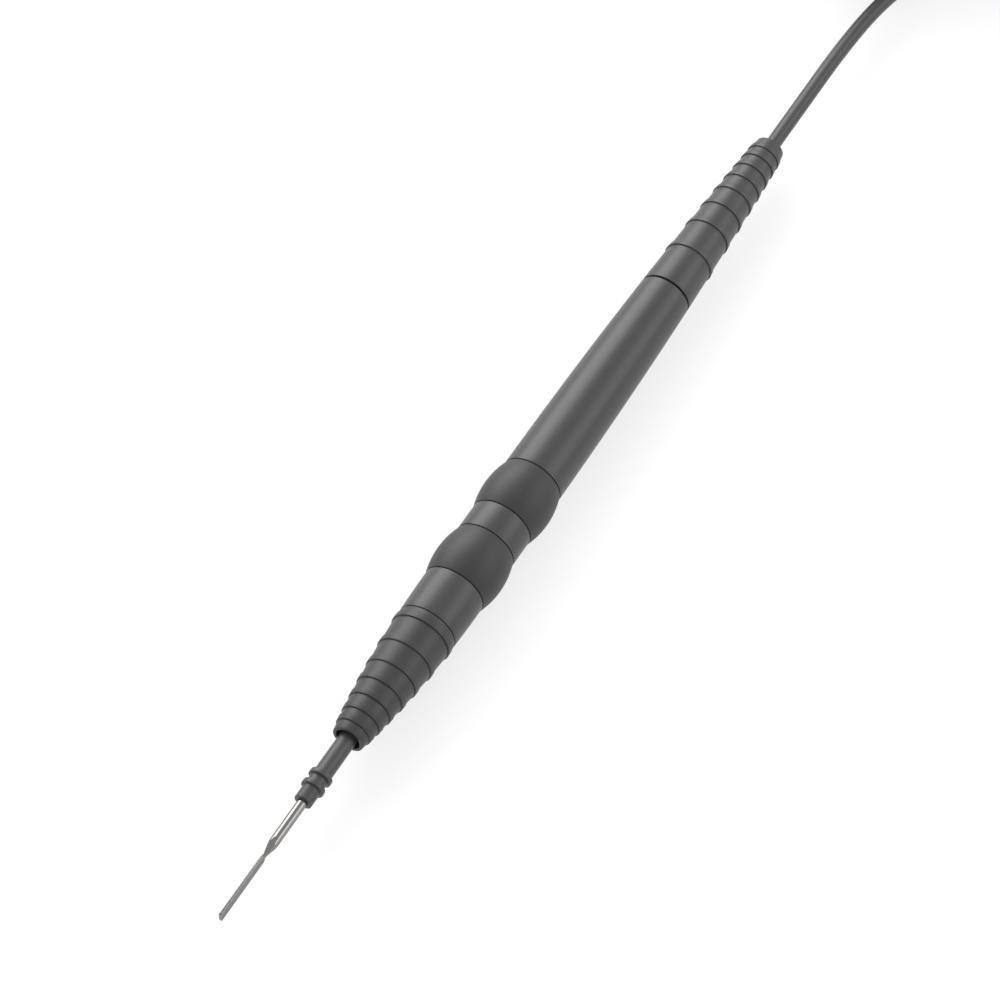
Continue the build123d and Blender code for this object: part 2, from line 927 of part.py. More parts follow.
handpiece_pieces = {
    "blade_electrode": make_blade_electrode(),
    "electrode_sleeve": make_electrode_sleeve(),
    "nose_boot": make_nose_boot(),
    "nose_seal": make_nose_seal(),
    "collet_carrier": make_collet_carrier(),
    "contact_collet": make_contact_collet(),
    "contact_washer": make_contact_washer(),
    "contact_stud": make_contact_stud(),
    "core_tube": make_core_tube(),
    "front_housing": make_front_housing(),
    "front_guide_disc": make_guide_disc(*front_face),
    "front_ring_button": make_ring_button(*front_face),
    "front_press_sleeve": make_press_sleeve(*front_face),
    "front_dome_band": make_dome_band(*front_face),
    "middle_collar": make_middle_collar(),
    "rear_dome_band": make_dome_band(*rear_face),
    "rear_press_sleeve": make_press_sleeve(*rear_face),
    "rear_ring_button": make_ring_button(*rear_face),
    "rear_guide_disc": make_guide_disc(*rear_face),
    "rear_housing": make_rear_housing(),
    "core_nut": make_core_nut(),
    "contact_flex": make_contact_flex(),
    "circuit_board": make_circuit_board(),
    "active_wire": make_active_wire(),
    "common_wire": make_cord_wire(0),
    "cut_wire": make_cord_wire(1),
    "coag_wire": make_cord_wire(-1),
    "cord_clamp": make_cord_clamp(),
    "cord_in_boot": make_cord_in_boot(),
    "strain_relief": make_strain_relief(),
}

placed_pieces = {
    "power_cord": make_power_cord(),
    "cord_coil": make_cord_coil(),
    "plug_lead": make_plug_lead(),
    "plug_boot": make_plug_boot(),
    "plug_base": make_plug_half(-1),
    "plug_cover": make_plug_half(1),
    "active_pin": make_plug_pin(pin_places[0]),
    "cut_pin": make_plug_pin(pin_places[1]),
    "coag_pin": make_plug_pin(pin_places[2]),
}

os.makedirs("parts", exist_ok=True)
for name, piece in handpiece_pieces.items():
    export_step(handpiece_place * piece, f"parts/{name}.step")
for name, piece in placed_pieces.items():
    export_step(piece, f"parts/{name}.step")
print(f"overall length {overall_length:.2f} mm, rests at axis height {axis_height:.2f} mm")
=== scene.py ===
# %% [markdown]
# # An electrosurgical pencil
#
# A slim handpiece that is held like a pen. The blade in its nose is live while one of the
# two bulged rings is pressed. Nearly everything on it is turned about one axis, so this
# lesson draws half an outline for each piece and spins it. What makes it look real is
# small: the rounded edges, the ribs with their sharp little steps, and the difference
# between moulded plastic, rubber and polished steel.
#
# Sizes are real millimetres. Along the handpiece they are counted from the blade's tip.

from math import acos, asin, cos, hypot, pi, radians, sin, sqrt

import bmesh
import bpy
from mathutils import Matrix, Vector


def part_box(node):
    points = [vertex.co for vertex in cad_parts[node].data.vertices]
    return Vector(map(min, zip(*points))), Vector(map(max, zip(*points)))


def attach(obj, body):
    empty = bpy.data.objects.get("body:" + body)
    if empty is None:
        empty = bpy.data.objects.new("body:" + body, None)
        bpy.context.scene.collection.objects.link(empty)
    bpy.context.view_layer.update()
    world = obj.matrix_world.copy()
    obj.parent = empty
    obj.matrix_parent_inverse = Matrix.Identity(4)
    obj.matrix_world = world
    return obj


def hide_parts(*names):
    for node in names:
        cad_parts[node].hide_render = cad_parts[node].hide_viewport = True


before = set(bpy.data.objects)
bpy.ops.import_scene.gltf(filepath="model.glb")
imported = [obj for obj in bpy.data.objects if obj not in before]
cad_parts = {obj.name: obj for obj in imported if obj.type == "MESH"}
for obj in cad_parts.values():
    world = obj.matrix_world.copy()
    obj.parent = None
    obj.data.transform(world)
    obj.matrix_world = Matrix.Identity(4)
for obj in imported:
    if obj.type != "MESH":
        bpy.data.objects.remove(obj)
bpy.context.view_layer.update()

MM = 0.001
tip_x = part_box("blade_electrode")[0].x
axis_height = sum(corner.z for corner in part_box("rear_housing")) / 2
print(f"blade tip at x = {tip_x / MM:.1f} mm, axis {axis_height / MM:.2f} mm above the floor")

# %% Places along the handpiece


def span(part):
    """Where a CAD part starts and ends along the handpiece, in millimetres from the tip."""
    low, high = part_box(part)
    return (low.x - tip_x) / MM, (high.x - tip_x) / MM


for part in ("nose_boot", "middle_collar", "strain_relief"):
    print(part, "from {:.1f} to {:.1f} mm".format(*span(part)))

# %% [markdown]
# ## Spinning an outline
#
# A lathe makes round things from one profile. bmesh has the same operation: spin sweeps a
# chain of edges about an axis. Cylinders with bevelled ends would do for one plain ring,
# but here walls, bores and rims come in one closed outline, and every piece is made alike.
# Corners of moulded parts are never quite sharp, so each outline point can carry an ease,
# the distance over which its corner is rounded.

# %% Rounded corners
EASE_STEPS = 4
# Two corners share the side between them, so each may take just under half of it.
EASE_SHARE = 0.49


def eased(points):
    """The closed outline with a small curve at each (x, radius, ease) corner."""
    result = []
    for number, point in enumerate(points):
        corner = Vector(point[:2])
        if len(point) == 2:
            result.append(corner)
            continue
        before = Vector(points[number - 1][:2]) - corner
        after = Vector(points[(number + 1) % len(points)][:2]) - corner
        ease = min(point[2], before.length * EASE_SHARE, after.length * EASE_SHARE)
        start = corner + before.normalized() * ease
        end = corner + after.normalized() * ease
        for step in range(EASE_STEPS + 1):
            s = step / EASE_STEPS
            result.append(start * (1 - s) ** 2 + corner * 2 * s * (1 - s) + end * s**2)
    return result


print("a square with one eased corner has", len(eased([(0, 1), (0, 3), (2, 3, 0.2), (2, 1)])), "points")

# %% [markdown]
# ## From a bmesh to a piece
#
# Every piece ends the same way. Doubled points where the spin closes are merged, and the
# faces are turned outwards. Edges that are still sharp after the easing are marked, and
# everything else is shaded smooth, so that a rim catches one clean line of light.

# %% Finishing a mesh
WELD_DISTANCE = 0.0005
SHARP_DEGREES = 32


def finish_mesh(mesh, name, body):
    """Cleans a bmesh drawn in millimetres, sets it in place and makes it ride."""
    bmesh.ops.remove_doubles(mesh, verts=mesh.verts, dist=WELD_DISTANCE)
    bmesh.ops.recalc_face_normals(mesh, faces=mesh.faces)
    for face in mesh.faces:
        face.smooth = True
    for edge in mesh.edges:
        edge.smooth = not edge.is_manifold or edge.calc_face_angle(0) < radians(SHARP_DEGREES)
    bmesh.ops.scale(mesh, vec=(MM, MM, MM), verts=mesh.verts)
    data = bpy.data.meshes.new(name)
    mesh.to_mesh(data)
    mesh.free()
    piece = bpy.data.objects.new(name, data)
    bpy.context.scene.collection.objects.link(piece)
    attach(piece, body)
    return piece


print("edges that turn by", SHARP_DEGREES, "degrees or more stay sharp")

# %% Turning on the lathe
FACETS = 128
HANDPIECE_PLACE = (tip_x / MM, 0, axis_height / MM)


def turned(name, body, outline, replaced, place=HANDPIECE_PLACE, facets=FACETS):
    """Spins a closed outline of (x, radius[, ease]) points, counted from place, into a piece."""
    mesh = bmesh.new()
    points = eased(outline)
    verts = [mesh.verts.new((x, 0, radius)) for x, radius in points]
    edges = [mesh.edges.new((verts[i - 1], verts[i])) for i in range(len(verts))]
    bmesh.ops.spin(
        mesh,
        geom=verts + edges,
        cent=(0, 0, 0),
        axis=(1, 0, 0),
        dvec=(0, 0, 0),
        angle=2 * pi,
        space=Matrix.Identity(4),
        steps=facets,
        use_merge=True,
        use_duplicate=False,
    )
    bmesh.ops.translate(mesh, vec=place, verts=mesh.verts)
    piece = finish_mesh(mesh, name, body)
    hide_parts(replaced)
    print(f"{name}: {len(points)} outline points, {len(piece.data.polygons)} faces")
    return piece


print("each facet of a turned piece spans", 360 / FACETS, "degrees")

# %% [markdown]
# ## Ribbed boots
#
# Both boots are soft mouldings with a row of ribs that give the fingers hold in front and
# let the cord bend gently behind. Seen closely, each rib is a tiny step up on the side of
# the tip, a short crest, and a lower drop behind it, then a plain slope to the next rib.
# The step is what draws the dark line round the boot: it faces away from the light, and
# the corner at its foot is in its own shade. A fine groove at that foot keeps it crisp.
# Separate rings on a cone would be quicker to make, but a boot is one skin, and in one
# outline each rib keeps its own measured step.

# %% Rib profile
GROOVE_WIDTH = 0.07
GROOVE_DEPTH = 0.02
GROOVE_EASE = 0.04
STEP_LENGTH = 0.03
STEP_EASE = 0.05
CREST_LENGTH = 1.5
CREST_EASE = 0.16
DROP_LENGTH = 0.12
DROP_EASE = 0.1


def ribs(*rows):
    """Outline points of ribs, each a place and its foot, crest, crest end and drop radii."""
    points = []
    for x, foot, crest, crest_end, drop in rows:
        points += [
            (x - 2 * GROOVE_WIDTH, foot),
            (x - GROOVE_WIDTH, foot - GROOVE_DEPTH / 3, STEP_EASE),
            (x, foot - GROOVE_DEPTH, GROOVE_EASE),
            (x + STEP_LENGTH, crest, STEP_EASE),
            (x + CREST_LENGTH, crest_end, CREST_EASE),
            (x + CREST_LENGTH + DROP_LENGTH, drop, DROP_EASE),
        ]
    return points


print("a rib is", CREST_LENGTH + DROP_LENGTH, "mm long, its groove", GROOVE_DEPTH, "mm deep")

# %% Nose boot
NOSE_MOUTH = 51.87
NOSE_MOUTH_R = 3.0
NOSE_END = 85.5
nose_ribs = ribs(
    (54.11, 4.10, 4.40, 4.60, 4.45),
    (57.28, 4.61, 4.91, 5.06, 4.90),
    (61.0, 5.12, 5.43, 5.55, 5.35),
    (65.24, 5.67, 5.97, 6.07, 5.85),
    (69.99, 6.20, 6.49, 6.55, 6.33),
    (75.76, 6.72, 7.01, 7.03, 6.82),
    (82.62, 7.14, 7.45, 7.43, 7.28),
)
nose_boot = turned(
    "nose_boot_moulding",
    "handpiece",
    [
        (NOSE_MOUTH, NOSE_MOUTH_R, 0.08),
        (NOSE_MOUTH, 3.77, 0.1),
        *nose_ribs,
        (NOSE_END, 7.21, 0.08),
        (NOSE_END, 5.86),
        (57.0, 4.0),
        (57.0, NOSE_MOUTH_R),
    ],
    "nose_boot",
)

# %% Tail boot
TAIL_BOOT_START = 194.4
TAIL_BOOT_END = 246.15
CORD_BORE_R = 1.88
SPIGOT_R = 4.7
SPIGOT_START = 183.7
SPIGOT_LIP = (185.8, 4.95)
# The land is the ring that shows dark at the bottom of the seam before the boot.
LAND_LENGTH = 0.58
LAND_R = 5.4
tail_ribs = ribs(
    (205.47, 5.93, 6.23, 6.05, 5.84),
    (214.37, 5.53, 5.82, 5.66, 5.42),
    (221.16, 5.20, 5.49, 5.31, 5.08),
    (226.89, 4.90, 5.18, 5.00, 4.77),
    (231.61, 4.64, 4.92, 4.74, 4.50),
    (235.76, 4.38, 4.66, 4.49, 4.27),
    (239.43, 4.17, 4.44, 4.27, 4.08),
    (242.53, 3.99, 4.24, 4.08, 3.86),
)
tail_boot = turned(
    "tail_boot_moulding",
    "handpiece",
    [
        (TAIL_BOOT_START - LAND_LENGTH, SPIGOT_R),
        (TAIL_BOOT_START - LAND_LENGTH, LAND_R),
        (TAIL_BOOT_START, LAND_R),
        (TAIL_BOOT_START, 6.36, 0.1),
        (196.5, 6.29, 1.0),
        (200.0, 6.13, 1.5),
        *tail_ribs,
        (TAIL_BOOT_END, 3.6, 0.1),
        (TAIL_BOOT_END, CORD_BORE_R, 0.1),
        (SPIGOT_START, CORD_BORE_R),
        (SPIGOT_START, SPIGOT_LIP[1], 0.2),
        SPIGOT_LIP,
        (SPIGOT_LIP[0], SPIGOT_R),
    ],
    "strain_relief",
)

# %% [markdown]
# ## Rigid shells
#
# Between the boots the handpiece is hard plastic in short rings, each moulded by itself,
# so a hairline runs round every joint. A dark line could be painted on one long shell, but
# the seams here are real gaps of 0.2 mm between two pieces with faintly rounded rims, so
# they stay right from any side.

# %% Front shell and collar
SHELL_R = 7.45
RIM_EASE = 0.07
SEAM = 0.2
CORE_BORE_R = 4.03
COLLAR_BORE_R = 4.24

front_start = span("front_housing")[0]
front_end = span("front_ring_button")[0] - SEAM
front_shell = turned(
    "front_shell",
    "handpiece",
    [
        (front_start, CORE_BORE_R),
        (front_start, 7.24, RIM_EASE),
        (88.5, 7.35, 1.5),
        (92.5, 7.43, 1.5),
        (front_end, SHELL_R, RIM_EASE),
        (front_end, CORE_BORE_R),
    ],
    "front_housing",
)
collar_start, collar_end = span("middle_collar")
collar_shell = turned(
    "collar_shell",
    "handpiece",
    [
        (collar_start, COLLAR_BORE_R),
        (collar_start, SHELL_R, RIM_EASE),
        (collar_end, SHELL_R, RIM_EASE),
        (collar_end, COLLAR_BORE_R),
    ],
    "middle_collar",
)

# %% [markdown]
# ## Ring buttons
#
# The two bulged rings are the switches. A finger can press them from any side, so they
# have no top or bottom, and only their bulge tells the finger where they are. Each stands a
# little proud of the shell on the side of the tip, and ends just below the shell behind.
# A squashed sphere would come near, but the bulge is an arc between two unequal ends.

# %% A leaning arc
BOW_STEPS = 28


def bow(start, end, middle_radius):
    """Points of an arc from start to end, leaned over so that both ends fit."""
    (x0, r0), (x1, r1) = start, end
    half = (x1 - x0) / 2
    rise = middle_radius - (r0 + r1) / 2
    arc_radius = (half**2 + rise**2) / (2 * rise)
    centre = middle_radius - arc_radius
    points = []
    for step in range(1, BOW_STEPS):
        x = -half + 2 * half * step / BOW_STEPS
        lean = (r1 - r0) / 2 * x / half
        points.append((x0 + half + x, centre + sqrt(arc_radius**2 - x**2) + lean))
    return points


print("an arc has", BOW_STEPS - 1, "points between its ends")

# %% Ring outline
RING_BULGE_R = 8.555
RING_TIP_SIDE_R = 7.54
RING_TAIL_SIDE_R = 7.38
RING_PRESS_BORE_R = 6.33
RING_DISC_BORE_R = 6.5
RING_LENGTH = 13.4
SHOULDER = (2.0, 3.6)
SHOULDER_BORE_R = 4.63


def ring_outline(face, direction):
    """A ring button from the face beside its guide disc: bulge, bore and shoulder."""

    def at(distance):
        return face + direction * distance

    first_r, last_r = (RING_TIP_SIDE_R, RING_TAIL_SIDE_R)[::direction]
    return [
        (at(0), RING_DISC_BORE_R),
        (at(0), first_r, RIM_EASE),
        *bow((at(0), first_r), (at(RING_LENGTH), last_r), RING_BULGE_R),
        (at(RING_LENGTH), last_r, RIM_EASE),
        (at(RING_LENGTH), RING_PRESS_BORE_R),
        (at(SHOULDER[1]), RING_PRESS_BORE_R),
        (at(SHOULDER[1]), SHOULDER_BORE_R),
        (at(SHOULDER[0]), SHOULDER_BORE_R),
        (at(SHOULDER[0]), RING_DISC_BORE_R),
    ]


print(f"a ring stands {RING_BULGE_R - SHELL_R:.2f} mm proud of the shells in its middle")

# %% Both rings
front_ring = turned(
    "front_ring_grip",
    "front_ring",
    ring_outline(span("front_ring_button")[0], 1),
    "front_ring_button",
)
rear_ring = turned(
    "rear_ring_grip",
    "rear_ring",
    ring_outline(span("rear_ring_button")[1], -1),
    "rear_ring_button",
)

# %% [markdown]
# ## Rear shell
#
# The long shell lies on the hand between thumb and finger. It starts level and falls away
# in one long arc. A cone would look stiff here, because the highlight on a cone is a
# straight wedge, while the real one bends.

# %% Rear shell
REAR_SHELL_TRIM = 0.1
REAR_SHELL = (span("rear_ring_button")[1] + SEAM, span("rear_housing")[1] - REAR_SHELL_TRIM)
REAR_SHELL_END_R = 6.38
REAR_STEPS = 40
SPIGOT_BORE_R = 4.73
SPIGOT_BORE_START = 185.7
REAR_FACE_DEPTH = 134.5


def rear_radius(x):
    """The rear shell's radius: level at first, then falling with the square of the way."""
    share = (x - REAR_SHELL[0]) / (REAR_SHELL[1] - REAR_SHELL[0])
    return SHELL_R - (SHELL_R - REAR_SHELL_END_R) * share**2


rear_curve = []
for step in range(1, REAR_STEPS):
    x = REAR_SHELL[0] + (REAR_SHELL[1] - REAR_SHELL[0]) * step / REAR_STEPS
    rear_curve.append((x, rear_radius(x)))
rear_shell = turned(
    "rear_shell",
    "handpiece",
    [
        (REAR_SHELL[0], CORE_BORE_R),
        (REAR_SHELL[0], SHELL_R, RIM_EASE),
        *rear_curve,
        (REAR_SHELL[1], REAR_SHELL_END_R, RIM_EASE),
        (REAR_SHELL[1], SPIGOT_BORE_R),
        (SPIGOT_BORE_START, SPIGOT_BORE_R),
        (SPIGOT_BORE_START, 5.0),
        (REAR_FACE_DEPTH, 5.8),
        (REAR_FACE_DEPTH, CORE_BORE_R),
    ],
    "rear_housing",
)
print("rear shell", [round(v / MM, 1) for v in rear_shell.dimensions])

# %% [markdown]
# ## Insulating sleeve
#
# The steel is live, so a grey sleeve is moulded on the shaft, with two collars that the
# fingers push against when a blade is changed. A tube with two rings pushed over it would
# show seams that a moulding doesn't have, so tube and collars are one turned outline. The
# front face round the shaft is flat, and the dark gap there parts grey from steel.

# %% Sleeve
SLEEVE_START = 33.3
SLEEVE_END = 60.0
SLEEVE_R = 2.12
SLEEVE_INNER_END_R = 2.05
SLEEVE_BORE_R = 1.2
SLEEVE_MOUTH_R = 1.22
COLLAR_R = 2.77
sleeve = turned(
    "insulating_sleeve",
    "electrode",
    [
        (SLEEVE_START, SLEEVE_MOUTH_R, 0.03),
        (SLEEVE_START, SLEEVE_R, 0.1),
        (36.95, SLEEVE_R + 0.02, 0.05),
        (37.05, COLLAR_R, 0.12),
        (38.2, COLLAR_R, 0.2),
        (38.4, SLEEVE_R + 0.05, 0.15),
        (39.98, SLEEVE_R + 0.03, 0.05),
        (40.08, COLLAR_R, 0.12),
        (41.2, COLLAR_R, 0.2),
        (41.4, SLEEVE_R + 0.02, 0.15),
        (51.4, SLEEVE_R),
        (53.0, SLEEVE_INNER_END_R),
        (SLEEVE_END, SLEEVE_INNER_END_R, 0.1),
        (SLEEVE_END, SLEEVE_BORE_R),
        (34.0, SLEEVE_BORE_R),
        (34.0, SLEEVE_MOUTH_R),
    ],
    "electrode_sleeve",
    facets=96,
)

# %% [markdown]
# ## Electrode
#
# The electrode is a push-in blade on a round steel rod of 2.36 mm. Four flats are ground
# on the rod's end, which run in to a slim neck, and a flat blade with rounded edges
# follows. A box and a cylinder could be joined, but then the ground faces, which shine in
# long points, would be missing. So one circle of vertices is extruded from station to
# station, and each ring is pressed to its section there.

# %% Sections of the rod
SHAFT_R = 1.18
FLAT_STEPS = 2
ARC_STEPS = 12


def quarter(half_y, half_z, radius, edge):
    """A quarter of a section: a rod of some radius with flats ground on its sides."""
    if hypot(half_y, half_z) > radius:
        start = acos(min(1, half_y / radius))
        end = asin(min(1, half_z / radius))
        centre = (0, 0)
    else:
        start, end = 0, pi / 2
        radius = edge
        centre = (half_y - edge, half_z - edge)
    arc = []
    for step in range(ARC_STEPS + 1):
        angle = start + (end - start) * step / ARC_STEPS
        arc.append((centre[0] + radius * cos(angle), centre[1] + radius * sin(angle)))
    first = [(arc[0][0], arc[0][1] * i / FLAT_STEPS) for i in range(FLAT_STEPS)]
    last = [(arc[-1][0] * (1 - i / FLAT_STEPS), arc[-1][1]) for i in range(1, FLAT_STEPS)]
    return first + arc + last


def section(half_y, half_z, radius, edge):
    """A whole section from four quarters, each a quarter turn on."""
    points = []
    for turn in range(4):
        sizes = (half_y, half_z) if turn % 2 == 0 else (half_z, half_y)
        for y, z in quarter(*sizes, radius, edge):
            for _ in range(turn):
                y, z = -z, y
            points.append((y, z))
    return points


print("a section has", len(section(SHAFT_R, SHAFT_R, SHAFT_R, 0)), "points")

# %% Rounded ends of the blade


def corner_fall(distance, radius):
    """How far a rounded corner has fallen back at a distance short of its end."""
    if distance >= radius:
        return 0
    return radius - sqrt(radius**2 - (radius - distance) ** 2)


print("a corner of 1 mm has fallen", corner_fall(0, 1), "mm back at its very end")

# %% Stations along the rod
SHAFT_END = 70.0
SHAFT_CHAMFER = 0.25
BLADE_END = 17.3
BLADE_HALF = (0.35, 1.4)
BLADE_CORNER = 0.55
BLADE_EDGE = 0.24
# Where the blade is thinner than its rounded edges, they take this much of its half.
THIN_EDGE_SHARE = 0.9
BLADE_TIP_STOPS = (0.0, 0.02, 0.07, 0.14, 0.24, 0.34, 0.44, 0.55)
BLADE_BACK_STOPS = (16.75, 16.9, 17.05, 17.17, 17.26, BLADE_END)
NECK_START = BLADE_END + 0.01
NECK_END = 18.1
NECK_HALF = (0.35, 0.45)
NECK_EDGE = 0.06
POINT_END = 22.5
POINT_SHARES = (0.15, 0.3, 0.42, 0.5, 0.54, 0.58, 0.64, 0.72, 0.8, 0.88, 0.94, 1.0)
# A rod so thick that no flat reaches it gives a plain bar with rounded edges.
PLAIN_BAR = 9


def blade_stations():
    """(x, section) from the blade's tip to the shaft's end."""
    half_y, half_z = BLADE_HALF
    stations = []
    for x in BLADE_TIP_STOPS + BLADE_BACK_STOPS:
        from_end = min(x, BLADE_END - x)
        thin = half_y - corner_fall(x, BLADE_EDGE)
        tall = half_z - corner_fall(from_end, BLADE_CORNER) - corner_fall(x, BLADE_EDGE)
        edge = min(BLADE_EDGE, thin * THIN_EDGE_SHARE)
        stations.append((x, section(thin, tall, PLAIN_BAR, edge)))
    for x in (NECK_START, NECK_END):
        stations.append((x, section(*NECK_HALF, PLAIN_BAR, NECK_EDGE)))
    for share in POINT_SHARES:
        flats = [n + (SHAFT_R - n) * share for n in NECK_HALF]
        x = NECK_END + (POINT_END - NECK_END) * share
        stations.append((x, section(*flats, SHAFT_R, NECK_EDGE)))
    end_r = SHAFT_R - SHAFT_CHAMFER
    stations.append((SHAFT_END - SHAFT_CHAMFER, section(SHAFT_R, SHAFT_R, SHAFT_R, 0)))
    stations.append((SHAFT_END, section(end_r, end_r, end_r, 0)))
    return stations


stations = blade_stations()
print(len(stations), "stations from blade to shaft")

# %% The rod, ring by ring


def press_ring(verts, x, points):
    """Moves one ring of vertices to a station and its section."""
    for vert, (y, z) in zip(verts, points):
        vert.co = (tip_x / MM + x, y, axis_height / MM + z)


rod = bmesh.new()
ring = bmesh.ops.create_circle(rod, cap_ends=False, radius=1, segments=len(stations[0][1]))
ring = ring["verts"]
press_ring(ring, *stations[0])
bmesh.ops.contextual_create(rod, geom=ring)
edges = list(rod.edges)
for x, points in stations[1:]:
    grown = bmesh.ops.extrude_edge_only(rod, edges=edges)["geom"]
    new_verts = {item for item in grown if isinstance(item, bmesh.types.BMVert)}
    edges = [item for item in grown if isinstance(item, bmesh.types.BMEdge)]
    edges = [e for e in edges if e.verts[0] in new_verts and e.verts[1] in new_verts]
    following = []
    for old in ring:
        others = [e.other_vert(old) for e in old.link_edges]
        following.append(next(v for v in others if v in new_verts))
    press_ring(following, x, points)
    ring = following
bmesh.ops.contextual_create(rod, geom=ring)
blade = finish_mesh(rod, "steel_blade", "electrode")
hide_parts("blade_electrode")
print("blade", [round(v / MM, 2) for v in blade.dimensions])

# %% [markdown]
# ## Cord
#
# The cord is a limp three-core lead about 3 m long. It leaves the rear boot straight, sinks
# to the table, and the rest is put away in a neat round coil with the plug on top. A tube
# could be swept as a mesh, but one NURBS curve with a round bevel stays smooth and easy to
# lay. A coil's turn is 18 control points on a circle. The turns lie side by side from the
# outside in, climb a layer, and go back out, as on a spool. Where a turn shifts sideways
# or climbs, it does so over a short stretch, and the next layer does it a little earlier
# round the coil.

# %% From the boot to the coil
CORD_D = 3.7
half_length = -tip_x / MM
route = [
    (half_length, 0.0, axis_height / MM),
    (141.5, 0.0, axis_height / MM),
    (161.0, 0.1, 8.1),
    (178.5, -0.6, 6.6),
    (192.5, -3.0, 4.5),
    (205.0, -5.9, 2.7),
]
print("the cord sinks from {:.1f} to {:.1f} mm".format(route[0][2], route[-1][2]))

# %% A point of the coil
COIL_CENTRE = (218.3, 19.5)
TURN_POINTS = 18
# A curve through the middles of its control polygon's sides runs inside the corners.
pull_in = cos(pi / TURN_POINTS)


def coil_point(step, radius, height):
    """A control point on the coil, whose steps are counted from the side near the pencil."""
    angle = -pi / 2 + 2 * pi * step / TURN_POINTS
    x = COIL_CENTRE[0] + radius / pull_in * cos(angle)
    y = COIL_CENTRE[1] + radius / pull_in * sin(angle)
    return (x, y, height)


print(f"control points lie {1 / pull_in - 1:.1%} outside the circle that they draw")

# %% Round the coil
COIL_MEAN_R = 20.5
COLUMNS = 4
LAYERS = 6
SHIFT_POINTS = 3
column_radii = [COIL_MEAN_R + (c - (COLUMNS - 1) / 2) * CORD_D for c in range(COLUMNS)]

turns = []
step = 0
for layer in range(LAYERS):
    height = CORD_D * (layer + 0.5)
    columns = list(range(COLUMNS))
    if layer % 2 == 0:
        columns.reverse()
    for place, column in enumerate(columns):
        first = place == 0
        last = place == COLUMNS - 1
        straight = TURN_POINTS - SHIFT_POINTS
        if first and layer > 0:
            straight -= SHIFT_POINTS
        if last:
            straight -= SHIFT_POINTS
        for _ in range(straight):
            turns.append(coil_point(step, column_radii[column], height))
            step += 1
        for part in range(SHIFT_POINTS):
            share = (part + 0.5) / SHIFT_POINTS
            if last:
                climbed = height + CORD_D * share
                turns.append(coil_point(step, column_radii[column], climbed))
            else:
                target = column_radii[columns[place + 1]]
                radius = column_radii[column] + (target - column_radii[column]) * share
                turns.append(coil_point(step, radius, height))
            step += 1
coil_end_angle = (-90 + 360 * step / TURN_POINTS) % 360
print(f"coil {step / TURN_POINTS:.1f} turns, ends at {coil_end_angle:.0f} degrees")

# %% Up to the plug
COIL_TOP = CORD_D * LAYERS
lead = [
    (24.6, -6.0, 1.9),
    (24.6, 3.5, 1.9),
    (22.6, 10.8, 1.9),
    (17.6, 16.6, 1.9),
    (9.0, 21.4, 1.9),
    (-1.5, 24.2, 2.1),
    (-13.5, 23.6, 2.9),
    (-24.0, 18.6, 3.9),
    (-30.5, 9.8, 4.8),
    (-32.5, 1.0, 5.4),
    (-31.5, -6.5, 5.9),
    (-25.5, -11.0, 6.0),
    (-17.0, -11.0, 6.0),
]
lead = [(COIL_CENTRE[0] + dx, COIL_CENTRE[1] + dy, COIL_TOP + dz) for dx, dy, dz in lead]
cord_points = route + turns + lead
print(len(cord_points), "control points")

# %% The curve and its length
curve = bpy.data.curves.new("cord", "CURVE")
curve.dimensions = "3D"
spline = curve.splines.new("NURBS")
spline.points.add(len(cord_points) - 1)
for point, co in zip(spline.points, cord_points):
    point.co = (co[0] * MM, co[1] * MM, co[2] * MM, 1)
    point.radius = CORD_D / 2 * MM
spline.order_u = 3
spline.use_endpoint_u = True
curve.resolution_u = 5
cord = bpy.data.objects.new("cord", curve)
bpy.context.scene.collection.objects.link(cord)

line = bpy.data.meshes.new_from_object(cord)
cord_length = 0
for edge in line.edges:
    a, b = (line.vertices[i].co for i in edge.vertices)
    cord_length += (b - a).length
bpy.data.meshes.remove(line)
print(f"the cord measures {cord_length:.3f} m")

# %% The cord's round bevel
# Each point's radius is already in metres, so the bevel that it scales is 1 m.
curve.bevel_depth = 1
curve.bevel_resolution = 6
curve.use_fill_caps = True
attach(cord, "handpiece")
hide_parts("power_cord", "cord_coil", "plug_lead")
print(f"the cord is {2 * spline.points[0].radius * curve.bevel_depth / MM:.1f} mm thick")

# %% [markdown]
# ## Plug
#
# The three-pin plug is two moulded halves that close round the pins at mid-height. A
# rounded box could be drawn as an outline and filled, but bevels on a plain box are
# quicker to change: first its upright corners, then its outer rim. A shallow panel is
# pressed into the broad side, by two insets.

# %% Plug halves
PLUG_PLACE = (COIL_CENTRE[0] - 17.0, COIL_CENTRE[1] - 11.0, COIL_TOP + 6.0)
PLUG_SIZE = (24.0, 42.0, 12.0)
PLUG_BOOT = 12.0
PLUG_CORNER = 3.0
PLUG_RIM = 1.0
PARTING_RIM = 0.15
HALF_GAP = 0.03
# Less than the corner's radius inside the rim, or the panel's corners would cross.
PANEL_FRAME = 1.5
PANEL_SLOPE = 0.3
PANEL_DEPTH = 0.4


